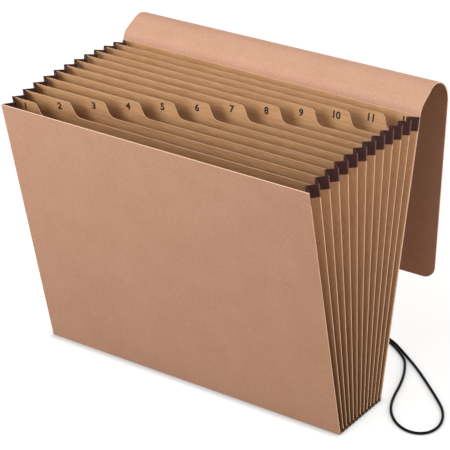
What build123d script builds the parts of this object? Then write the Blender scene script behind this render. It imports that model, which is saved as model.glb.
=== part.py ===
# Expanding accordion file: two pressboard covers, twelve indexed dividers, pleated paper gussets
# with a woven tape over their top edges, a flap that rolls over the back, and an elastic cord.
# Millimetres, +Z up. X runs along the covers, +Y to the back cover.
# The origin is on the floor, under the middle of the base.
import os
from math import asin, cos, degrees, radians, sin, tan

from build123d import *

# Sheets
file_width = 304.8
cover_height = 254.0
cover_thickness = 1.0
divider_thickness = 0.5
pleat_thickness = 0.3
tape_thickness = 0.2

# The open fan: panel 0 is the front cover, panels 1 to 12 are the dividers
pocket_count = 12
pocket_foot_pitch = 5.43
front_lean_deg = 12.9
back_lean_deg = 11.0

# Gussets
pleat_face_width = 10.5
crease_setback = 0.65
tape_height = 11.9
base_ridge = 2.4
base_paper = 0.4
base_flat = 1.8
pleat_clearance = 0.4
pleat_lift = base_ridge + base_paper + pleat_clearance

# Dividers and their index tabs
divider_inset = 0.6
divider_clearance = 0.6
tab_drop = 13.0
tab_run = 8.0
tab_round = 3.0
tab_width = file_width / pocket_count

# Flap: it rolls over the back in four folds and hangs behind
roll_rise = 2.0
roll_radius = 23.6
roll_turn_deg = 172.2
fold_count = 4
fold_travel_deg = 70.0
fold_clearance = 0.12
flap_drop = 165.0
flap_corner = 11.0

# Cuts run this far past what they cut
cut_overrun = 1.0
crease_overrun_share = 0.3

# Cord fixing in the middle of the back cover
eyelet_height = 127.0
eyelet_bore = 5.8
eyelet_wall = 0.4
eyelet_flange = 10.0
flange_thickness = 0.4
eyelet_clearance = 0.05
clip_length = 14.0
clip_height = 7.0
clip_thickness = 2.0
clip_corner = 1.5
cord_diameter = 2.4
cord_sides = 8
strand_spacing = 2.8
cord_exit = 9.0

# The doubled cord hangs behind the back cover and lies on the floor to the right of the file
cord_hang = [
    (0.6, 73.4, 114.5),
    (3.7, 77.8, 100.0),
    (8.6, 81.2, 83.0),
    (15.0, 86.1, 63.0),
    (24.0, 94.1, 43.0),
    (37.1, 105.2, 25.0),
    (54.2, 118.3, 11.5),
    (76.6, 129.0, 4.0),
    (104.5, 130.9, 1.4),
]
cord_loop = [
    (134.7, 109.7, 1.3),
    (152.3, 96.6, 1.3),
    (174.6, 77.3, 1.3),
    (192.3, 61.2, 1.3),
    (203.6, 50.0, 1.3),
    (211.5, 37.5, 1.3),
    (215.6, 23.5, 1.3),
    (213.8, 11.0, 1.3),
    (206.5, 3.5, 1.3),
    (195.5, 1.8, 1.3),
    (182.5, 7.5, 1.3),
    (171.3, 18.5, 1.3),
    (163.6, 31.5, 1.3),
    (158.4, 46.5, 1.3),
    (154.3, 62.5, 1.3),
    (148.5, 79.5, 1.3),
    (141.0, 95.0, 1.3),
    (132.9, 107.3, 1.3),
]
cord_return = [
    (103.5, 128.1, 1.4),
    (77.4, 126.0, 4.0),
    (55.8, 115.7, 11.5),
    (38.9, 102.8, 25.0),
    (26.0, 91.9, 43.0),
    (17.0, 83.9, 63.0),
    (10.4, 78.8, 83.0),
    (6.3, 76.2, 100.0),
    (3.4, 72.6, 114.5),
]
cord_fill_share = 0.45

os.makedirs("parts", exist_ok=True)


def save(piece, name):
    piece.part.label = name
    export_step(piece.part, f"parts/{name}.step")


def lean(panel):
    """Backward lean of a panel, in degrees. Half numbers are the middles of pockets."""
    return panel * (front_lean_deg + back_lean_deg) / pocket_count - front_lean_deg


def foot(panel):
    """Where a panel's plane meets the floor."""
    return (panel - pocket_count / 2) * pocket_foot_pitch


def face_plane(panel):
    """A panel seen from the front: local x across the file, local y up the sheet."""
    turn = radians(lean(panel))
    return Plane(origin=(0, foot(panel), 0), x_dir=(1, 0, 0), z_dir=(0, -cos(turn), sin(turn)))


def side_plane(panel, x):
    """A panel seen from its edge: local x through the sheet to the back, local y up the sheet."""
    turn = radians(lean(panel))
    return Plane(origin=(x, foot(panel), 0), x_dir=(0, cos(turn), -sin(turn)), z_dir=(1, 0, 0))


def foot_height(panel, depth):
    """Height up the sheet at which a rounded cover edge touches the floor."""
    turn = radians(lean(panel))
    return (cover_thickness / 2 + depth * sin(turn)) / cos(turn)


def pleat_spread(pocket, height):
    """How far each outer crease of a pleat stands from the middle of its pocket."""
    half_turn = radians(front_lean_deg + back_lean_deg) / pocket_count / 2
    half_pitch = pocket_foot_pitch / 2 * cos(radians(lean(pocket)))
    return half_pitch + height * tan(half_turn) - crease_setback


def pleat_corner(pocket, height, share):
    """A point on the front face of a right-hand pleat: share 0 is its inner crease, 1 its outer crease.
    The face keeps its slope from foot to mouth, as a flat sheet that opens like a fan."""
    slope = asin(pleat_spread(pocket, cover_height) / pleat_face_width)
    spread = pleat_spread(pocket, height)
    depth = (1 - share) * spread / tan(slope)
    return face_plane(pocket).from_local_coords((file_width / 2 - depth, height, share * spread))


def pleat_sheet(pocket, low, high):
    """The front face of a right-hand pleat, run past both creases."""
    corners = [
        pleat_corner(pocket, low, -crease_overrun_share),
        pleat_corner(pocket, low, 1 + crease_overrun_share),
        pleat_corner(pocket, high, 1 + crease_overrun_share),
        pleat_corner(pocket, high, -crease_overrun_share),
    ]
    return Face(Wire.make_polygon(corners))


# Front cover: one flat sheet whose rounded lower edge stands on the floor
with BuildPart() as front_cover:
    with BuildSketch(side_plane(0, -file_width / 2)):
        edge_low = foot_height(0, -cover_thickness / 2)
        with BuildLine():
            Polyline(
                (-cover_thickness, edge_low),
                (-cover_thickness, cover_height),
                (0, cover_height),
                (0, edge_low),
            )
            RadiusArc((0, edge_low), (-cover_thickness, edge_low), cover_thickness / 2)
        make_face()
    extrude(amount=file_width)
save(front_cover, "front_cover")

# Bottom gusset: a shallow zigzag of paper, flat where each crease lies on the floor
with BuildPart() as bottom_gusset:
    under = []
    for panel in range(pocket_count + 1):
        if panel > 0:
            under.append((foot(panel - 1 / 2), base_ridge))
            under.append((foot(panel) - base_flat / 2, 0))
        if panel < pocket_count:
            under.append((foot(panel) + base_flat / 2, 0))
    under[0:0] = [(foot(0) + crease_setback, 0)]
    under.append((foot(pocket_count), 0))
    over = [(y, z + base_paper) for y, z in reversed(under)]
    with BuildSketch(Plane.YZ.offset(-file_width / 2)):
        with BuildLine():
            Polyline(*under, *over, close=True)
        make_face()
    extrude(amount=file_width)
save(bottom_gusset, "bottom_gusset")

# Dividers: each stands high up to its own index tab, then steps down to the right
divider_lift = base_ridge + base_paper + divider_clearance
divider_half = file_width / 2 - divider_inset
tab_low = cover_height - tab_drop
hole_radius = eyelet_bore / 2 + eyelet_wall + eyelet_clearance
for panel in range(1, pocket_count + 1):
    last = panel == pocket_count
    tab_end = panel * tab_width - file_width / 2
    with BuildPart() as divider:
        with BuildSketch(face_plane(panel)):
            with BuildLine():
                if last:
                    Line((-divider_half, cover_height), (divider_half, cover_height))
                else:
                    FilletPolyline(
                        (-divider_half, cover_height),
                        (tab_end, cover_height),
                        (tab_end + tab_run, tab_low),
                        (divider_half, tab_low),
                        radius=tab_round,
                    )
                right_top = cover_height if last else tab_low
                Polyline(
                    (divider_half, right_top),
                    (divider_half, divider_lift),
                    (-divider_half, divider_lift),
                    (-divider_half, cover_height),
                )
            make_face()
            if last:
                with Locations((0, eyelet_height)):
                    Circle(hole_radius, mode=Mode.SUBTRACT)
        extrude(amount=divider_thickness / 2, both=True)
    save(divider, f"divider_{panel:02d}")

# Gusset pleats and tapes: one V of paper on each side of every pocket, and over its top edge
# a folded strip of tape. One face is cut along both creases, then mirrored to the other three.
tape_low = cover_height - tape_height
tape_stack = pleat_thickness + 2 * tape_thickness
for number in range(1, pocket_count + 1):
    pocket = number - 1 / 2
    with BuildPart() as pleat:
        extrude(pleat_sheet(pocket, pleat_lift, cover_height), pleat_thickness / 2, both=True)
        split(bisect_by=face_plane(pocket), keep=Keep.TOP)
        split(bisect_by=Plane.YZ.offset(file_width / 2), keep=Keep.BOTTOM)
        mirror(about=face_plane(pocket))
        mirror(about=Plane.YZ)
    save(pleat, f"gusset_pleat_{number:02d}")

    with BuildPart() as tape:
        extrude(pleat_sheet(pocket, tape_low, cover_height + tape_thickness), tape_stack / 2, both=True)
        covered = pleat_sheet(pocket, tape_low - cut_overrun, cover_height)
        extrude(covered, pleat_thickness / 2, both=True, mode=Mode.SUBTRACT)
        split(bisect_by=face_plane(pocket), keep=Keep.TOP)
        split(bisect_by=Plane.YZ.offset(file_width / 2), keep=Keep.BOTTOM)
        mirror(about=face_plane(pocket))
        mirror(about=Plane.YZ)
    save(tape, f"gusset_tape_{number:02d}")

# Back cover and flap are one sheet: the cover, three strips between the fold lines, the free panel
roll_start = cover_height + roll_rise
fold_turn_deg = roll_turn_deg / fold_count
fold_gap =cover_thickness * tan(radians(fold_travel_deg / 2)) + fold_clearance
fold_gap_deg = degrees(fold_gap / roll_radius)
back_inner = divider_thickness / 2
back_outer = back_inner + cover_thickness
back_middle = back_inner + cover_thickness / 2
roll_center = (back_middle + roll_radius, roll_start)
front_radius = roll_radius + cover_thickness / 2
rear_radius = roll_radius - cover_thickness / 2
back_side = side_plane(pocket_count, -file_width / 2)
first_fold_deg = (fold_turn_deg - fold_gap_deg) / 2

with BuildPart() as back_cover:
    with BuildSketch(back_side):
        edge_low = foot_height(pocket_count, back_middle)
        with BuildLine():
            Line((back_inner, edge_low), (back_inner, roll_start))
            front_lip = CenterArc(roll_center, front_radius, 180, -first_fold_deg)
            rear_lip = CenterArc(roll_center, rear_radius, 180, -first_fold_deg)
            Line(front_lip @ 1, rear_lip @ 1)
            Line((back_outer, roll_start), (back_outer, edge_low))
            RadiusArc((back_outer, edge_low), (back_inner, edge_low), cover_thickness / 2)
        make_face()
    extrude(amount=file_width)
    with BuildSketch(face_plane(pocket_count)):
        with Locations((0, eyelet_height)):
            Circle(hole_radius)
    extrude(amount=-back_outer - cut_overrun, mode=Mode.SUBTRACT)
save(back_cover, "back_cover")

for fold in range(1, fold_count):
    strip_start = 180 - (fold - 1 / 2) * fold_turn_deg - fold_gap_deg / 2
    strip_turn = fold_turn_deg - fold_gap_deg
    with BuildPart() as flap_strip:
        with BuildSketch(back_side):
            with BuildLine():
                front_arc = CenterArc(roll_center, front_radius, strip_start, -strip_turn)
                rear_arc = CenterArc(roll_center, rear_radius, strip_start, -strip_turn)
                Line(front_arc @ 0, rear_arc @ 0)
                Line(front_arc @ 1, rear_arc @ 1)
            make_face()
        extrude(amount=file_width)
    save(flap_strip, f"flap_strip_{fold}")

with BuildPart() as flap_panel:
    with BuildSketch(back_side):
        with BuildLine():
            panel_start = 180 - roll_turn_deg + first_fold_deg
            front_arc = CenterArc(roll_center, front_radius, panel_start, -first_fold_deg)
            rear_arc = CenterArc(roll_center, rear_radius, panel_start, -first_fold_deg)
            Line(front_arc @ 0, rear_arc @ 0)
            front_end = front_arc @ 1 + (front_arc % 1) * flap_drop
            rear_end = rear_arc @ 1 + (rear_arc % 1) * flap_drop
            Polyline(front_arc @ 1, front_end, rear_end, rear_arc @ 1)
        make_face()
    extrude(amount=file_width)
    free_edge = flap_panel.faces().sort_by(Axis.Z)[0]
    fillet(free_edge.edges().sort_by(SortBy.LENGTH)[0:2], radius=flap_corner)
save(flap_panel, "flap_panel")

# Eyelet: a metal tube through the last divider and the back cover, rolled out to a flange at each end
anchor = side_plane(pocket_count, 0)
bore_radius = eyelet_bore / 2
barrel_radius = bore_radius + eyelet_wall
flange_radius = eyelet_flange / 2
stack_front = -divider_thickness / 2
with BuildPart() as cord_eyelet:
    with BuildSketch(anchor):
        with BuildLine():
            Polyline(
                (stack_front - flange_thickness, eyelet_height + bore_radius),
                (stack_front - flange_thickness, eyelet_height + flange_radius),
                (stack_front, eyelet_height + flange_radius),
                (stack_front, eyelet_height + barrel_radius),
                (back_outer, eyelet_height + barrel_radius),
                (back_outer, eyelet_height + flange_radius),
                (back_outer + flange_thickness, eyelet_height + flange_radius),
                (back_outer + flange_thickness, eyelet_height + bore_radius),
                close=True,
            )
        make_face()
    revolve(axis=Axis(anchor.from_local_coords((0, eyelet_height, 0)), anchor.x_dir))
save(cord_eyelet, "cord_eyelet")

# Clip: a crimped metal plate inside the last pocket, too long to pass through the eyelet
clip_depth = stack_front - flange_thickness
with BuildPart() as cord_clip:
    with BuildSketch(face_plane(pocket_count).offset(-clip_depth)):
        with Locations((0, eyelet_height)):
            RectangleRounded(clip_length, clip_height, clip_corner)
    extrude(amount=clip_thickness)
save(cord_clip, "cord_clip")

# Elastic cord: one length from the clip, out through the eyelet, round the loop and back again
strand_side = strand_spacing / 2
cord_points = [
    anchor.from_local_coords((clip_depth, eyelet_height, -strand_side)),
    anchor.from_local_coords((cord_exit, eyelet_height, -strand_side)),
    *[Vector(point) for point in cord_hang + cord_loop + cord_return],
    anchor.from_local_coords((cord_exit, eyelet_height, strand_side)),
    anchor.from_local_coords((clip_depth, eyelet_height, strand_side)),
]
cord_radii = []
for before, corner, after in zip(cord_points, cord_points[1:], cord_points[2:]):
    half_turn = radians((corner - before).get_angle(after - corner)) / 2
    shorter_run = min((corner - before).length, (after - corner).length)
    cord_radii.append(cord_fill_share * shorter_run / tan(half_turn))
with BuildPart() as elastic_cord:
    with BuildLine() as route:
        FilletPolyline(*cord_points, radius=cord_radii)
    with BuildSketch(Plane(origin=route.line @ 0, z_dir=route.line % 0)) as section:
        RegularPolygon(cord_diameter / 2, cord_sides)
    sweep()
save(elastic_cord, "elastic_cord")
cord_length = route.wire().length
cord_volume = section.sketch.area * cord_length
print("cord radii", [round(radius, 1) for radius in cord_radii])
print("cord length", round(cord_length, 1))
print("cord volume over section times length", round(elastic_cord.part.volume / cord_volume, 4))
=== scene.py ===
# Expanding accordion file: a fan of indexed dividers between two kraft board covers, joined by
# pleated gussets with woven tape, with a flap that rolls over the back and an elastic cord.
import math

import bmesh
import bpy
from mathutils import Matrix, Vector


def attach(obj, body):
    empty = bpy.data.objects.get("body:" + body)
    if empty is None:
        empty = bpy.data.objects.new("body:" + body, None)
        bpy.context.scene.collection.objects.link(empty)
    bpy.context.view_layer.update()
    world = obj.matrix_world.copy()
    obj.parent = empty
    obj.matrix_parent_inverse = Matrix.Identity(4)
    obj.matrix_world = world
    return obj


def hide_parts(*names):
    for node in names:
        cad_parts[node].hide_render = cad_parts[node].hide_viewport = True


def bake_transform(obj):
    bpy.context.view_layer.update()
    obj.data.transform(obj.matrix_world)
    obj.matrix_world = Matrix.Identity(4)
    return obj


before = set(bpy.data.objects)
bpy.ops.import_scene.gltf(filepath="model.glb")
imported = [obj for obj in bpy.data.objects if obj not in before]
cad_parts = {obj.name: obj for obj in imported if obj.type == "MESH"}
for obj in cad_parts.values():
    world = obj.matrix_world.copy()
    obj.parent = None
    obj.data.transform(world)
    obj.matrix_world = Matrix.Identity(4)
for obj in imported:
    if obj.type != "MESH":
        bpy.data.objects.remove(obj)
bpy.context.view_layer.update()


# Front cover: a sheet of pressed kraft board, guillotined square on all four sides.
# It leans forwards at the front of the fan and stands on its rounded lower edge, and the
# first gusset is glued along both ends of its inner face.
mm = 0.001
pocket_count = 12
foot_pitch = 5.43 * mm
front_lean = math.radians(12.9)
back_lean = math.radians(11.0)
file_width = 304.8 * mm
file_edge = file_width / 2
cover_height = 254.0 * mm
cover_thickness = 1.0 * mm
cover_foot = 0.13 * mm
foot_round = 0.48 * mm
pale_end_width = 0.35 * mm
# An edge is shaded sharp from this turn on, and a face points a way from this cosine on.
sharp_turn = math.radians(35)
facing = 0.9


def panel_lean(panel):
    """Backward lean of a panel: 0 is the front cover, 12 the last divider, halves are pockets."""
    return panel * (front_lean + back_lean) / pocket_count - front_lean


def panel_matrix(panel):
    """From a panel's own axes, x across, y through to the back and z up the sheet, to the frame."""
    foot = (panel - pocket_count / 2) * foot_pitch
    return Matrix.Translation((0, foot, 0)) @ Matrix.Rotation(-panel_lean(panel), 4, "X")


def linear(colour):
    """An sRGB hex colour as linear red, green, blue and alpha."""
    channels = [int(colour[i : i + 2], 16) / 255 for i in (1, 3, 5)]
    return [((c + 0.055) / 1.055) ** 2.4 if c > 0.04045 else c / 12.92 for c in channels] + [1]


def add_node(tree, kind, settings, links):
    """One shader node: its settings are inputs, properties or ramp stops, its links are sockets."""
    node = tree.nodes.new(kind)
    for key, value in settings.items():
        if key == "stops":
            for place, colour in value[2:]:
                node.color_ramp.elements.new(place)
            for element, (place, colour) in zip(node.color_ramp.elements, value):
                element.position = place
                element.color = linear(colour)
        elif isinstance(key, int) or key in node.inputs:
            node.inputs[key].default_value = value
        else:
            setattr(node, key, value)
    for key, socket in links.items():
        tree.links.new(socket, node.inputs[key])
    return node


def new_tree(name):
    """A new material of that name with an empty node tree."""
    material = bpy.data.materials.new(name)
    material.use_nodes = True
    material.node_tree.nodes.clear()
    return material, material.node_tree


def rubbed_ends(tree, place, colour, pale, amount):
    """A colour that goes paler at the file's two ends: partly wear where edges and folds rub,
    partly a painted highlight along the outer creases and edges.
    """
    axes = add_node(tree, "ShaderNodeSeparateXYZ", {}, {"Vector": place.outputs["Object"]})
    away = add_node(tree, "ShaderNodeMath", {"operation": "ABSOLUTE"}, {0: axes.outputs["X"]})
    pale_share = add_node(
        tree,
        "ShaderNodeMapRange",
        {"From Min": file_edge - pale_end_width, "From Max": file_edge, "To Max": amount},
        {"Value": away.outputs[0]},
    )
    mixed = add_node(
        tree,
        "ShaderNodeMix",
        {"data_type": "RGBA", 7: linear(pale)},
        {0: pale_share.outputs["Result"], 6: colour},
    )
    return mixed.outputs[2]


def kraft(name, dark, middle, light, grain, end_wear_and_highlight):
    """Unbleached kraft pulp, pressed and uncoated, so it is matt, with flecks drawn out along the
    grain over faint clouds. Fibres are 0.03 mm wide, and the flecks are drawn wide enough to show.
    It is painted darker deep in folds and pockets, as painted shade, on pieces that carry that
    shade as an attribute."""
    fleck_width = 0.8 * mm
    fleck_relief = 0.1 * mm
    cloud_width = 30 * mm
    cloud_share = 0.2
    material, tree = new_tree(name)
    place = add_node(tree, "ShaderNodeTexCoord", {}, {})
    along = add_node(
        tree, "ShaderNodeMapping", {"Scale": grain}, {"Vector": place.outputs["Object"]}
    )
    flecks = add_node(
        tree,
        "ShaderNodeTexNoise",
        {"Scale": 1 / fleck_width, "Detail": 5, "Roughness": 0.65},
        {"Vector": along.outputs["Vector"]},
    )
    clouds = add_node(
        tree,
        "ShaderNodeTexNoise",
        {"Scale": 1 / cloud_width, "Detail": 2},
        {"Vector": place.outputs["Object"]},
    )
    shade = add_node(
        tree,
        "ShaderNodeMath",
        {"operation": "MULTIPLY_ADD", 1: cloud_share},
        {0: clouds.outputs["Fac"], 2: flecks.outputs["Fac"]},
    )
    colour = add_node(
        tree,
        "ShaderNodeValToRGB",
        {"stops": [(0.35, dark), (0.6, middle), (0.85, light)]},
        {"Fac": shade.outputs[0]},
    )
    bump = add_node(
        tree,
        "ShaderNodeBump",
        {"Strength": 0.15, "Distance": fleck_relief},
        {"Height": flecks.outputs["Fac"]},
    )
    # Painted shade: the attribute mixes in a dark brown, for the shadow deep in folds and pockets.
    folds = add_node(tree, "ShaderNodeAttribute", {"attribute_name": "fold_depth"}, {})
    painted_fold_shade = add_node(
        tree,
        "ShaderNodeMix",
        {"data_type": "RGBA", 7: linear("#522F0E")},
        {0: folds.outputs["Fac"], 6: colour.outputs["Color"]},
    )
    surface = add_node(
        tree,
        "ShaderNodeBsdfPrincipled",
        {"Roughness": 0.82, "IOR": 1.47, "Specular IOR Level": 0.35},
        {
            "Base Color": rubbed_ends(tree, place, painted_fold_shade.outputs[2], "#F4D4B8", end_wear_and_highlight),
            "Normal": bump.outputs["Normal"],
        },
    )
    add_node(tree, "ShaderNodeOutputMaterial", {}, {"Surface": surface.outputs["BSDF"]})
    return material


def make_piece(bm, name, *materials):
    """A new object at the origin that holds the finished shape, smooth but for its sharp edges."""
    mesh = bpy.data.meshes.new(name)
    bm.to_mesh(mesh)
    bm.free()
    for material in materials:
        mesh.materials.append(material)
    mesh.polygons.foreach_set("use_smooth", [True] * len(mesh.polygons))
    mesh.set_sharp_from_angle(angle=sharp_turn)
    piece = bpy.data.objects.new(name, mesh)
    bpy.context.scene.collection.objects.link(piece)
    return piece


board = kraft("pressed_kraft_board", "#BA8E75", "#CBA088", "#D6AD96", (0.6, 1, 1), 0.2)
cut_edge_and_highlight_board = kraft("cut_board_edge", "#E0BB9C", "#ECCBB0", "#F4D9C2", (1, 1, 1), 0)

bm = bmesh.new()
bmesh.ops.create_cube(bm, size=1)
sheet_height = cover_height - cover_foot
bmesh.ops.scale(bm, vec=(file_width, cover_thickness, sheet_height), verts=bm.verts[:])
sheet_middle = (0, -cover_thickness / 2, cover_foot + sheet_height / 2)
bmesh.ops.translate(bm, vec=sheet_middle, verts=bm.verts[:])
foot_edges = [e for e in bm.edges if all(v.co.z < cover_height / 2 for v in e.verts)]
foot_edges = [e for e in foot_edges if abs(e.verts[0].co.x - e.verts[1].co.x) > file_edge]
bmesh.ops.bevel(
    bm, geom=foot_edges, offset=foot_round, affect="EDGES", segments=4, profile=0.5, material=-1
)
bm.normal_update()
# The upward top face takes the lighter cut-edge colour: partly the board's own cut tone, partly a
# painted highlight where light catches the top edge.
for face in bm.faces:
    face.material_index = int(face.normal.z > facing)
bm.transform(panel_matrix(0))
front_cover = make_piece(bm, "front_cover_sheet", board, cut_edge_and_highlight_board)
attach(front_cover, "front")
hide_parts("front_cover")


# Bottom gusset: a strip of the gusset paper folded into a low zigzag, which closes the pockets
# underneath. The file stands on its flattened creases. It is drawn in a darker copy of the
# gusset paper: painted shade for the file's own shadow underneath.
shaded_base_paper = kraft("shaded_base_kraft_paper", "#5C4330", "#75573F", "#8A6A50", (1.2, 1.2, 0.06), 0)
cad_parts["bottom_gusset"].data.materials[0] = shaded_base_paper


# Dividers: twelve die-cut sheets of thinner kraft paper. Each stands high as far as its own
# index tab and then steps down. The lower corners are cut back, so that the pleats can fold shut
# beside them, and the last sheet has a hole where the eyelet goes through it.
divider_thickness = 0.5 * mm
divider_inset = 2.6 * mm
divider_end = file_edge - divider_inset
divider_lift = 3.4 * mm
corner_cut = 7.0 * mm
corner_height = 60.0 * mm
shade_depth = 8.0 * mm
shade_most = 0.16
shade_fall = 0.12
tab_width = file_width / pocket_count
tab_drop = 13.0 * mm
tab_foot = cover_height - tab_drop
tab_shift = -0.6 * mm
tab_run = 5.5 * mm
crest_tangent = 2.4 * mm
foot_tangent = 4.0 * mm
eyelet_height = 127.0 * mm
hole_radius = 3.35 * mm
hole_steps = 32

divider_paper = kraft("divider_kraft_paper", "#B98A5C", "#C99C71", "#D6AC84", (0.06, 1, 0.6), 0)
cut_paper = kraft("cut_paper_edge", "#DDB790", "#E8C6A3", "#F0D4B6", (1, 1, 1), 0)


def panel_body(panel):
    """The body that a panel moves with."""
    if panel == 0:
        return "front"
    return "back" if panel == pocket_count else f"divider_{panel:02d}"


def verts_of(geometry):
    """The vertices among what a mesh operation has made."""
    return [g for g in geometry if isinstance(g, bmesh.types.BMVert)]


def punch_sheet(bm, corners):
    """Fill the sheet between its corners, round a hole for the eyelet. Returns the sheet's rim."""
    rim = [bm.edges.new(pair) for pair in zip(corners, corners[1:] + corners[:1])]
    middle = Matrix.Translation((0, corners[0].co.y, eyelet_height))
    turned = middle @ Matrix.Rotation(math.radians(90), 4, "X")
    bmesh.ops.create_circle(bm, segments=hole_steps, radius=hole_radius, matrix=turned)
    bmesh.ops.triangle_fill(bm, edges=bm.edges[:], use_beauty=True)
    return rim


foot_end = divider_end - corner_cut
left_edge = [(-foot_end, divider_lift), (-divider_end, corner_height), (-divider_end, cover_height)]
right_edge = [(divider_end, corner_height), (foot_end, divider_lift)]
for panel in range(1, pocket_count + 1):
    tab_end = panel * tab_width - file_edge + tab_shift
    steps = [(tab_end, cover_height), (tab_end + tab_run, tab_foot), (divider_end, tab_foot)]
    if panel == pocket_count:
        steps = [(divider_end, cover_height)]
    outline = [*left_edge, *steps, *right_edge]
    bm = bmesh.new()
    corners = [bm.verts.new((x, -divider_thickness / 2, z)) for x, z in outline]
    if panel == pocket_count:
        punch_sheet(bm, corners)
    else:
        bm.faces.new(corners)
        for corner, tangent in zip(corners[3:5], (crest_tangent, foot_tangent)):
            bmesh.ops.bevel(
                bm,
                geom=[corner],
                offset=tangent,
                affect="VERTICES",
                segments=8,
                profile=0.5,
                material=-1,
            )
    for height in (tab_foot, cover_height - shade_depth):
        sheet = [*bm.verts, *bm.edges, *bm.faces]
        bmesh.ops.bisect_plane(bm, geom=sheet, plane_co=(0, 0, height), plane_no=(0, 0, 1))
    # Painted shade: the paper is drawn a little darker below the tabs, and most so in the front
    # pockets, where they lie deepest in shadow.
    fold_depth = bm.verts.layers.float.new("fold_depth")
    for vert in bm.verts:
        sunk = (cover_height - shade_depth - vert.co.z) / (tab_drop - shade_depth)
        shade = shade_most - shade_fall * panel / pocket_count
        vert[fold_depth] = min(max(sunk, 0), 1) * shade
    grown = bmesh.ops.extrude_face_region(bm, geom=bm.faces[:])["geom"]
    bmesh.ops.translate(bm, vec=(0, divider_thickness, 0), verts=verts_of(grown))
    bmesh.ops.recalc_face_normals(bm, faces=bm.faces[:])
    for face in bm.faces:
        face.material_index = int(abs(face.normal.y) < facing)
    bm.transform(panel_matrix(panel))
    divider = make_piece(bm, f"divider_sheet_{panel:02d}", divider_paper, cut_paper)
    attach(divider, panel_body(panel))
    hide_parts(f"divider_{panel:02d}")


# Index numbers: plain figures printed in black on the tabs, one to a divider.
# The ink lies on the paper, a few hundredths of a millimetre proud. It is offset ink that has
# dried matt, and it looks a little uneven where the paper's fibres show through.
figure_height = 6.8 * mm
figure_top = 2.4 * mm
figure_shift = 0.5 * mm
figure_bold = 0.04
figure_steps = 6
ink_thickness = 0.03 * mm
speck_width = 0.6 * mm

ink, tree = new_tree("printing_ink")
place = add_node(tree, "ShaderNodeTexCoord", {}, {})
specks = add_node(
    tree,
    "ShaderNodeTexNoise",
    {"Scale": 1 / speck_width, "Detail": 3},
    {"Vector": place.outputs["Object"]},
)
ink_colour = add_node(
    tree,
    "ShaderNodeValToRGB",
    {"stops": [(0.3, "#120D0B"), (0.8, "#251C17")]},
    {"Fac": specks.outputs["Fac"]},
)
surface = add_node(
    tree,
    "ShaderNodeBsdfPrincipled",
    {"Roughness": 0.6, "IOR": 1.5},
    {"Base Color": ink_colour.outputs["Color"]},
)
add_node(tree, "ShaderNodeOutputMaterial", {}, {"Surface": surface.outputs["BSDF"]})

for panel in range(1, pocket_count + 1):
    text = bpy.data.curves.new("figure", "FONT")
    text.body = str(panel)
    text.align_x = "CENTER"
    text.offset = figure_bold
    text.resolution_u = figure_steps
    writer = bpy.data.objects.new("figure", text)
    bpy.context.scene.collection.objects.link(writer)
    drawn = writer.evaluated_get(bpy.context.evaluated_depsgraph_get())
    flat = bpy.data.meshes.new_from_object(drawn)
    bpy.data.objects.remove(writer)
    bm = bmesh.new()
    bm.from_mesh(flat)
    bpy.data.meshes.remove(flat)
    top = max(v.co.y for v in bm.verts)
    low = min(v.co.y for v in bm.verts)
    size = figure_height / (top - low)
    bmesh.ops.translate(bm, vec=(0, -top, 0), verts=bm.verts[:])
    bmesh.ops.scale(bm, vec=(size, size, size), verts=bm.verts[:])
    grown = bmesh.ops.extrude_face_region(bm, geom=bm.faces[:])["geom"]
    bmesh.ops.translate(bm, vec=(0, 0, ink_thickness), verts=verts_of(grown))
    bmesh.ops.recalc_face_normals(bm, faces=bm.faces[:])
    bm.transform(Matrix.Rotation(math.radians(90), 4, "X"))
    middle = (panel - 1 / 2) * tab_width - file_edge + figure_shift
    spot = (middle, -divider_thickness / 2, cover_height - figure_top)
    bm.transform(panel_matrix(panel) @ Matrix.Translation(spot))
    figure = make_piece(bm, f"index_number_{panel:02d}", ink)
    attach(figure, panel_body(panel))


# Gusset pleats: strips of kraft paper folded into a zigzag on both sides of the file. Each pleat
# is a V whose outer creases are glued to two neighbouring panels, and it opens with the fan.
# The paper is painted darker deep in the folds and towards the foot, where they are nearly
# shut: painted shade.
pleat_face = 10.5 * mm
pleat_thickness = 0.3 * mm
pleat_lift = 3.2 * mm
crease_setback = 0.4 * mm
crease_round = 0.3 * mm
pleat_pull = 1.18
foot_zone = 35.0 * mm
rows_up = 12
rows_in = 3
face_least = 3.0 * mm
fold_start = 0.1
top_shade = 0.1
foot_shade = 1.05

# Its paler ends are partly wear and partly a painted highlight on the outer creases.
gusset_paper = kraft("gusset_kraft_paper", "#9D714F", "#B68865", "#C69B77", (1.2, 1.2, 0.06), 0.8)


def pocket_gap(pocket, height):
    """Half the distance between the two panels of a pocket at a height."""
    half_turn = (front_lean + back_lean) / pocket_count / 2
    return foot_pitch / 2 * math.cos(panel_lean(pocket)) + height * math.tan(half_turn)


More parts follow.
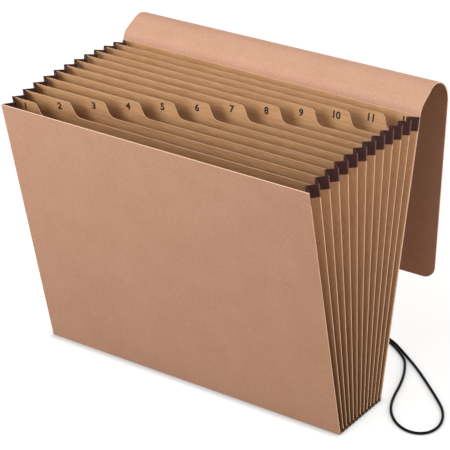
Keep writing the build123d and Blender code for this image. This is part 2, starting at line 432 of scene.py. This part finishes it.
def fold_pleat(pocket, side, low, high, proud, thickness):
    """The V of one pocket between two heights, at one side, standing proud of the file's edge."""
    bm = bmesh.new()
    rows = []
    for height in (low, high):
        gap = pocket_gap(pocket, height)
        spread = gap - crease_setback
        crease = file_edge - math.sqrt(pleat_face**2 - spread**2)
        front = [(file_edge, -gap), (file_edge, -spread)]
        rear = [(file_edge, spread), (file_edge, gap)]
        section = [*front, (crease, 0), *rear]
        rows.append([bm.verts.new((x + proud, y, height)) for x, y in section])
    for corners in zip(rows[0], rows[0][1:], rows[1][1:], rows[1]):
        bm.faces.new(corners)
    creases = [bm.edges.get((rows[0][i], rows[1][i])) for i in (1, 2, 3)]
    bmesh.ops.bevel(
        bm, geom=creases, offset=crease_round, affect="EDGES", segments=4, profile=0.5, material=-1
    )
    upright = [e for e in bm.edges if abs(e.verts[0].co.z - e.verts[1].co.z) > (high - low) / 2]
    bmesh.ops.subdivide_edges(bm, edges=upright, cuts=rows_up, use_grid_fill=True)
    wide = [e for e in bm.edges if abs(e.verts[0].co.x - e.verts[1].co.x) > face_least]
    bmesh.ops.subdivide_edges(bm, edges=wide, cuts=rows_in, use_grid_fill=True)
    bmesh.ops.solidify(bm, geom=bm.faces[:], thickness=thickness)
    # Painted shade: darker deep in each fold and towards the foot.
    fold_depth = bm.verts.layers.float.new("fold_depth")
    for vert in bm.verts:
        inside = (file_edge - vert.co.x) / pocket_gap(pocket, vert.co.z)
        closed = top_shade + foot_shade * (1 - vert.co.z / cover_height)
        vert[fold_depth] = min(max(inside - fold_start, 0) * closed, 1)
    bmesh.ops.scale(bm, vec=(side, 1, 1), verts=bm.verts[:])
    bmesh.ops.recalc_face_normals(bm, faces=bm.faces[:])
    bm.transform(panel_matrix(pocket))
    return bm


def blend_place(share):
    """How far along a blend a point has to lie to follow the second body by that share."""
    return 1 / 2 - math.sin(math.asin(1 - 2 * share) / 3)


def bend_pleat(piece, number, side):
    """Bake a pleat's transform into its shape. The shares by which it would follow the panel in
    front of it at one crease and the next panel at the other, with its inner crease halfway
    between them, are worked out but not applied. As the file closes, the paper would stay a
    little in front of the next panel. The front cover's hinge is lower than the first divider's,
    and the first pleat would make up for that by following it less near the foot."""
    pocket = number - 1 / 2
    share = max(1 - pleat_pull / (pocket_count - number + 1), 0)
    rear = blend_place(share)
    inner = blend_place((1 + share) / 2)
    gap = pocket_gap(pocket, cover_height)
    depth = math.sqrt(pleat_face**2 - (gap - crease_setback) ** 2)
    slope = Vector((side * ((1 + rear) / 2 - inner) / depth, (rear - 1) / (2 * gap), 0))
    if number == 1:
        low = blend_place(share * (1 - divider_lift / foot_zone))
        high = blend_place(share * (1 - divider_lift / cover_height))
        slope.z = (high - low) / (cover_height - foot_zone)
    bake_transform(piece)


sides = {"left": -1, "right": 1}
for number in range(1, pocket_count + 1):
    for hand, side in sides.items():
        bm = fold_pleat(number - 1 / 2, side, pleat_lift, cover_height, 0, pleat_thickness)
        pleat = make_piece(bm, f"gusset_pleat_paper_{number:02d}_{hand}", gusset_paper)
        bend_pleat(pleat, number, side)
        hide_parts(f"gusset_pleat_{number:02d}")


# Gusset tape: a strip of dark woven cloth folded over the top edge of every pleat and glued down,
# so that the folds don't tear where papers go in and out. It is plain-woven cotton, matt, with a
# grid of threads. They are about 0.5 mm apart, and are drawn twice as far apart so that they show.
tape_height = 11.9 * mm
tape_thickness = 0.2 * mm
tape_proud = 0.3 * mm
thread_pitch = 1.0 * mm
thread_relief = 0.15 * mm
# At a scale of 1, a wave texture repeats after this much.
wave_length = 0.314

tape_cloth, tree = new_tree("woven_binding_tape")
place = add_node(tree, "ShaderNodeTexCoord", {}, {})
thread_scale = wave_length / thread_pitch
warp, weft = [
    add_node(
        tree,
        "ShaderNodeTexWave",
        {"bands_direction": way, "Scale": thread_scale, "Distortion": 0.6, "Detail": 1},
        {"Vector": place.outputs["Object"]},
    )
    for way in ("X", "Z")
]
weave = add_node(
    tree,
    "ShaderNodeMath",
    {"operation": "MULTIPLY"},
    {0: warp.outputs["Fac"], 1: weft.outputs["Fac"]},
)
tape_colour = add_node(
    tree,
    "ShaderNodeValToRGB",
    {"stops": [(0.05, "#2F1817"), (0.6, "#54312F")]},
    {"Fac": weave.outputs[0]},
)
threads = add_node(
    tree,
    "ShaderNodeBump",
    {"Strength": 0.4, "Distance": thread_relief},
    {"Height": weave.outputs[0]},
)
# The tape's paler ends are partly wear and partly a painted highlight on its outer creases.
surface = add_node(
    tree,
    "ShaderNodeBsdfPrincipled",
    {"Roughness": 0.75, "IOR": 1.5, "Specular IOR Level": 0.2},
    {
        "Base Color": rubbed_ends(tree, place, tape_colour.outputs["Color"], "#8A6F68", 0.5),
        "Normal": threads.outputs["Normal"],
    },
)
add_node(tree, "ShaderNodeOutputMaterial", {}, {"Surface": surface.outputs["BSDF"]})

tape_low = cover_height - tape_height
tape_top = cover_height + tape_thickness
tape_stack = pleat_thickness + 2 * tape_thickness
for number in range(1, pocket_count + 1):
    for hand, side in sides.items():
        bm = fold_pleat(number - 1 / 2, side, tape_low, tape_top, tape_proud, tape_stack)
        tape = make_piece(bm, f"gusset_tape_strip_{number:02d}_{hand}", tape_cloth)
        bend_pleat(tape, number, side)
        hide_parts(f"gusset_tape_{number:02d}")


# Back cover and flap: one sheet of the same board. It stands behind the last divider, rolls over
# backwards at the top and hangs behind the file, with rounded free corners. The roll is four
# pieces, each of which covers one fold of the turn.
roll_start = cover_height + 2.0 * mm
roll_radius = 23.6 * mm
roll_turn = math.radians(172.2)
fold_count = 4
fold_turn = roll_turn / fold_count
roll_steps = 24
flap_drop = 165.0 * mm
flap_corner = 11.0 * mm
corner_steps = 12
shoulder_draw = 3.0 * mm
flap_sunk = Vector((0, 1.0, -4.0)) * mm
back_face = divider_thickness / 2
back_foot = 0.25 * mm
roll_depth = back_face + cover_thickness / 2 + roll_radius
roll_axis = Vector((0, roll_depth, roll_start))
roll_outer = roll_radius + cover_thickness / 2
right_end = Vector((file_edge, 0, 0))


def roll_point(folds, radius):
    """A point on the roll, in the last panel's axes, so many folds along it."""
    turn = folds * fold_turn
    return roll_axis + Vector((0, -math.cos(turn), math.sin(turn))) * radius


def settle(spot):
    """Where a point of the flap lies once it has settled. The roll's front shoulder is drawn in,
    so that the sheet rises nearly straight, and the left end has sunk."""
    out = spot - roll_axis
    out.x = 0
    share = 1.0
    if out.y < 0:
        share = min(max(2 * math.atan2(out.z, -out.y) / roll_turn, 0), 1)
    drawn = out.normalized() * shoulder_draw * math.sin(math.pi * share) ** 2
    sunk = flap_sunk * math.sin(math.pi / 2 * share) ** 2
    return spot - drawn + sunk * (file_edge - spot.x) / file_width


flap_parts = [
    ("back_cover_sheet", ["back_cover"]),
    ("flap_roll_front", ["flap_strip_1"]),
    ("flap_roll_crest", ["flap_strip_2"]),
    ("flap_sheet", ["flap_strip_3", "flap_panel"]),
]
for fold, (name, nodes) in enumerate(flap_parts):
    bm = bmesh.new()
    begin = roll_point(fold, roll_outer)
    left = bm.verts.new(begin - right_end)
    right = bm.verts.new(begin + right_end)
    if fold == 0:
        low_left = bm.verts.new((-file_edge, back_face, back_foot))
        low_right = bm.verts.new((file_edge, back_face, back_foot))
        edge = punch_sheet(bm, [low_left, left, right, low_right])[1]
    else:
        edge = bm.edges.new((left, right))
    spun = bmesh.ops.spin(
        bm,
        geom=[edge, *edge.verts],
        cent=roll_axis,
        axis=(1, 0, 0),
        angle=-fold_turn,
        steps=roll_steps,
    )
    if fold == fold_count - 1:
        edge = [g for g in spun["geom_last"] if isinstance(g, bmesh.types.BMEdge)][0]
        grown = bmesh.ops.extrude_edge_only(bm, edges=[edge])["geom"]
        tip = verts_of(grown)
        tangent = Vector((0, math.sin(roll_turn), math.cos(roll_turn)))
        bmesh.ops.translate(bm, vec=tangent * flap_drop, verts=tip)
        bmesh.ops.bevel(
            bm,
            geom=tip,
            offset=flap_corner,
            affect="VERTICES",
            segments=corner_steps,
            profile=0.5,
            material=-1,
        )
    bmesh.ops.recalc_face_normals(bm, faces=bm.faces[:])
    some_face = next(iter(bm.faces))
    if some_face.normal.dot(some_face.calc_center_median() - roll_axis) < 0:
        bmesh.ops.reverse_faces(bm, faces=bm.faces[:])
    bmesh.ops.solidify(bm, geom=bm.faces[:], thickness=cover_thickness)
    bmesh.ops.recalc_face_normals(bm, faces=bm.faces[:])
    for face in bm.faces:
        face.material_index = int(abs(face.normal.x) > facing)
    for vert in bm.verts:
        vert.co = settle(vert.co)
    bm.transform(panel_matrix(pocket_count))
    sheet = make_piece(bm, name, board, cut_edge_and_highlight_board)
    start = settle(roll_point(fold, roll_radius) + right_end)
    end = settle(roll_point(fold + 1, roll_radius) + right_end)
    chord = end - start
    # The sunk left end lies further along the roll, or less far, so one end of the fold is moved by
    # that slip; these ends are not used further.
    slip = chord * flap_sunk.dot(chord) / chord.length_squared
    if slip.dot(chord) > 0:
        start += slip
    else:
        end += slip
    place = panel_matrix(pocket_count)
    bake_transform(sheet)
    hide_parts(*nodes)


# Eyelet: a brass tube pressed through the last divider and the back cover and rolled out to a
# flange on both sides, so that the cord doesn't tear the board. It is drawn and rolled brass,
# satin, with faint patches of tarnish.
eyelet_bore = 2.9 * mm
eyelet_barrel = 3.3 * mm
eyelet_flange = 5.0 * mm
flange_thickness = 0.4 * mm
flange_round = 0.15 * mm
ring_steps = 40
lip_turn = math.radians(60)
tarnish_width = 3.0 * mm

brass, tree = new_tree("rolled_brass")
place = add_node(tree, "ShaderNodeTexCoord", {}, {})
tarnish = add_node(
    tree,
    "ShaderNodeTexNoise",
    {"Scale": 1 / tarnish_width, "Detail": 4},
    {"Vector": place.outputs["Object"]},
)
brass_colour = add_node(
    tree,
    "ShaderNodeValToRGB",
    {"stops": [(0.3, "#A98A4F"), (0.7, "#CDB077")]},
    {"Fac": tarnish.outputs["Fac"]},
)
surface = add_node(
    tree,
    "ShaderNodeBsdfPrincipled",
    {"Metallic": 1.0, "Roughness": 0.38},
    {"Base Color": brass_colour.outputs["Color"]},
)
add_node(tree, "ShaderNodeOutputMaterial", {}, {"Surface": surface.outputs["BSDF"]})

front_lip = -divider_thickness / 2
rear_lip = back_face + cover_thickness
profile = [
    (front_lip - flange_thickness, eyelet_bore),
    (front_lip - flange_thickness, eyelet_flange),
    (front_lip, eyelet_flange),
    (front_lip, eyelet_barrel),
    (rear_lip, eyelet_barrel),
    (rear_lip, eyelet_flange),
    (rear_lip + flange_thickness, eyelet_flange),
    (rear_lip + flange_thickness, eyelet_bore),
]
bm = bmesh.new()
ring = [bm.verts.new((0, depth, eyelet_height + radius)) for depth, radius in profile]
loop = [bm.edges.new(pair) for pair in zip(ring, ring[1:] + ring[:1])]
bmesh.ops.spin(
    bm,
    geom=ring + loop,
    cent=(0, 0, eyelet_height),
    axis=(0, 1, 0),
    angle=math.tau,
    steps=ring_steps,
    use_merge=True,
)
bmesh.ops.remove_doubles(bm, verts=bm.verts[:], dist=0.001 * mm)
bmesh.ops.recalc_face_normals(bm, faces=bm.faces[:])
lips = [e for e in bm.edges if e.is_manifold and e.calc_face_angle() > lip_turn]
bmesh.ops.bevel(
    bm, geom=lips, offset=flange_round, affect="EDGES", segments=3, profile=0.5, material=-1
)
bm.transform(panel_matrix(pocket_count))
eyelet = make_piece(bm, "eyelet_ring", brass)
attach(eyelet, "back")
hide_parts("cord_eyelet")


# Cord clip: a small brass plate crimped over both ends of the cord inside the last pocket.
# It is too long to pass through the eyelet.
clip_size = Vector((14.0, 2.0, 7.0)) * mm
clip_corner = 1.5 * mm
clip_break = 0.3 * mm

bm = bmesh.new()
bmesh.ops.create_cube(bm, size=1)
bmesh.ops.scale(bm, vec=clip_size, verts=bm.verts[:])
through = [e for e in bm.edges if abs(e.verts[0].co.y - e.verts[1].co.y) > clip_size.y / 2]
bmesh.ops.bevel(
    bm, geom=through, offset=clip_corner, affect="EDGES", segments=5, profile=0.5, material=-1
)
sharp = [e for e in bm.edges if e.calc_face_angle() > lip_turn]
bmesh.ops.bevel(
    bm, geom=sharp, offset=clip_break, affect="EDGES", segments=3, profile=0.5, material=-1
)
clip_spot = (0, front_lip - flange_thickness - clip_size.y / 2, eyelet_height)
bm.transform(panel_matrix(pocket_count) @ Matrix.Translation(clip_spot))
clip = make_piece(bm, "clip_plate", brass)
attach(clip, "back")
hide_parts("cord_clip")


# Elastic cord: one length of black braided elastic, doubled into a loop that goes round the
# closed file. Both ends are held in the clip, and the loop lies on the floor beside the file.
# Its cover is braided polyester, deep black and matt, with a fine knobbly relief.
cord_diameter = 2.4 * mm
strand_width = 0.8 * mm
strand_relief = 0.2 * mm
cord_route = [
    (-1.4, 56.17, 124.79),
    (-1.4, 65.65, 122.95),
    (0.6, 73.4, 114.5),
    (3.7, 77.8, 100.0),
    (8.6, 81.2, 83.0),
    (15.0, 86.1, 63.0),
    (24.0, 94.1, 43.0),
    (37.1, 105.2, 25.0),
    (54.2, 118.3, 11.5),
    (76.6, 129.0, 4.0),
    (104.5, 130.9, 1.4),
    (134.7, 109.7, 1.3),
    (152.3, 96.6, 1.3),
    (174.6, 77.3, 1.3),
    (192.3, 61.2, 1.3),
    (203.6, 50.0, 1.3),
    (211.5, 37.5, 1.3),
    (215.6, 23.5, 1.3),
    (213.8, 11.0, 1.3),
    (206.5, 3.5, 1.3),
    (195.5, 1.8, 1.3),
    (182.5, 7.5, 1.3),
    (171.3, 18.5, 1.3),
    (163.6, 31.5, 1.3),
    (158.4, 46.5, 1.3),
    (154.3, 62.5, 1.3),
    (148.5, 79.5, 1.3),
    (141.0, 95.0, 1.3),
    (132.9, 107.3, 1.3),
    (103.5, 128.1, 1.4),
    (77.4, 126.0, 4.0),
    (55.8, 115.7, 11.5),
    (38.9, 102.8, 25.0),
    (26.0, 91.9, 43.0),
    (17.0, 83.9, 63.0),
    (10.4, 78.8, 83.0),
    (6.3, 76.2, 100.0),
    (3.4, 72.6, 114.5),
    (1.4, 65.65, 122.95),
    (1.4, 56.17, 124.79),
]

elastic, tree = new_tree("braided_elastic")
place = add_node(tree, "ShaderNodeTexCoord", {}, {})
strands = add_node(
    tree, "ShaderNodeTexVoronoi", {"Scale": 1 / strand_width}, {"Vector": place.outputs["Object"]}
)
elastic_colour = add_node(
    tree,
    "ShaderNodeValToRGB",
    {"stops": [(0.1, "#0D0C0B"), (0.7, "#050404")]},
    {"Fac": strands.outputs["Distance"]},
)
knit = add_node(
    tree,
    "ShaderNodeBump",
    {"Strength": 0.5, "Distance": strand_relief, "invert": True},
    {"Height": strands.outputs["Distance"]},
)
surface = add_node(
    tree,
    "ShaderNodeBsdfPrincipled",
    {"Roughness": 0.7, "IOR": 1.5, "Specular IOR Level": 0.1},
    {"Base Color": elastic_colour.outputs["Color"], "Normal": knit.outputs["Normal"]},
)
add_node(tree, "ShaderNodeOutputMaterial", {}, {"Surface": surface.outputs["BSDF"]})

curve = bpy.data.curves.new("elastic_loop", "CURVE")
curve.dimensions = "3D"
spline = curve.splines.new("NURBS")
spline.points.add(len(cord_route) - 1)
for point, spot in zip(spline.points, cord_route):
    point.co = (spot[0] * mm, spot[1] * mm, spot[2] * mm, 1)
spline.order_u = 3
spline.use_endpoint_u = True
spline.resolution_u = 6
curve.bevel_depth = cord_diameter / 2
curve.bevel_resolution = 3
curve.use_fill_caps = True
curve.materials.append(elastic)
elastic_loop = bpy.data.objects.new("elastic_loop", curve)
bpy.context.scene.collection.objects.link(elastic_loop)
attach(elastic_loop, "back")
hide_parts("elastic_cord")


# Studio: a white floor that runs out of the picture, a soft lamp from the front and left, one
# from the right, one from above and one behind, and a low warm light from all round.
# The floor shows white but keeps the lamps' shadow, and ambient occlusion dims its glow right
# beside the file's foot: a painted contact shadow.
white = linear("#FFFFFF")
floor_size = 8.0
floor_share = 0.78
floor_glow = 1.1
contact_reach = 8.0 * mm
around_light = 0.16


def seen_rays(tree):
    """1 where the camera looks, straight or by gloss or glass, and 0 for light that falls."""
    rays = add_node(tree, "ShaderNodeLightPath", {}, {})
    mirrored = add_node(
        tree,
        "ShaderNodeMath",
        {"operation": "MAXIMUM"},
        {0: rays.outputs["Is Glossy Ray"], 1: rays.outputs["Is Transmission Ray"]},
    )
    seen = add_node(
        tree,
        "ShaderNodeMath",
        {"operation": "MAXIMUM"},
        {0: rays.outputs["Is Camera Ray"], 1: mirrored.outputs[0]},
    )
    return seen.outputs[0]


floor_material, tree = new_tree("studio_floor")
seen = seen_rays(tree)
shown = add_node(tree, "ShaderNodeMath", {"operation": "MULTIPLY", 1: floor_share}, {0: seen})
paper = add_node(
    tree,
    "ShaderNodeMix",
    {"data_type": "RGBA", 6: linear("#9C9080"), 7: linear("#F8F8F8")},
    {0: seen},
)
matt = add_node(tree, "ShaderNodeBsdfDiffuse", {}, {"Color": paper.outputs[2]})
# Painted contact shadow: ambient occlusion dims the floor's glow close to the file.
painted_contact_shadow = add_node(
    tree, "ShaderNodeAmbientOcclusion", {"samples": 8, "Distance": contact_reach}, {}
)
lit = add_node(
    tree,
    "ShaderNodeMath",
    {"operation": "MULTIPLY", 1: floor_glow},
    {0: painted_contact_shadow.outputs["AO"]},
)
glow = add_node(tree, "ShaderNodeEmission", {"Color": white}, {"Strength": lit.outputs[0]})
mixed = add_node(
    tree,
    "ShaderNodeMixShader",
    {},
    {0: shown.outputs[0], 1: matt.outputs["BSDF"], 2: glow.outputs["Emission"]},
)
add_node(tree, "ShaderNodeOutputMaterial", {}, {"Surface": mixed.outputs["Shader"]})
bm = bmesh.new()
bmesh.ops.create_grid(bm, x_segments=1, y_segments=1, size=floor_size / 2)
floor = make_piece(bm, "floor", floor_material)

world = bpy.data.worlds.new("studio")
world.use_nodes = True
world.node_tree.nodes.clear()
tree = world.node_tree
around = add_node(
    tree,
    "ShaderNodeBackground",
    {"Color": linear("#FFD3A0"), "Strength": around_light},
    {},
)
backdrop = add_node(tree, "ShaderNodeBackground", {"Color": white, "Strength": 1.0}, {})
mixed = add_node(
    tree,
    "ShaderNodeMixShader",
    {},
    {
        0: seen_rays(tree),
        1: around.outputs["Background"],
        2: backdrop.outputs["Background"],
    },
)
add_node(tree, "ShaderNodeOutputWorld", {}, {"Surface": mixed.outputs["Shader"]})
bpy.context.scene.world = world


def add_lamp(name, spot, size, power):
    """A square soft lamp at a spot, turned towards the middle of the file."""
    lamp = bpy.data.lights.new(name, "AREA")
    lamp.size = size
    lamp.energy = power
    holder = bpy.data.objects.new(name, lamp)
    holder.location = spot
    holder.rotation_mode = "QUATERNION"
    middle = Vector((0, 0, cover_height / 2))
    holder.rotation_quaternion = (middle - Vector(spot)).to_track_quat("-Z", "Y")
    bpy.context.scene.collection.objects.link(holder)


add_lamp("key_lamp", (-0.52, -1.06, 0.66), 0.85, 12.9)
add_lamp("side_lamp", (1.25, 0.05, 0.6), 0.6, 10.5)
add_lamp("top_lamp", (0, -0.55, 2.0), 0.8, 14.5)
add_lamp("back_lamp", (-0.5, 1.6, 0.5), 0.8, 10)

camera_data = bpy.data.cameras.new("camera")
camera_data.lens = 175.43
camera_data.sensor_width = 36
camera = bpy.data.objects.new("camera", camera_data)
camera_spot = Vector((0.9528, -1.3796, 0.9827))
camera_aim = Vector((0.00272, 0.01516, 0.13453))
camera.location = camera_spot
camera.rotation_mode = "QUATERNION"
camera.rotation_quaternion = (camera_aim - camera_spot).to_track_quat("-Z", "Y")
bpy.context.scene.collection.objects.link(camera)
bpy.context.scene.camera = camera
bpy.context.scene.view_settings.view_transform = "Standard"

bpy.context.view_layer.update()
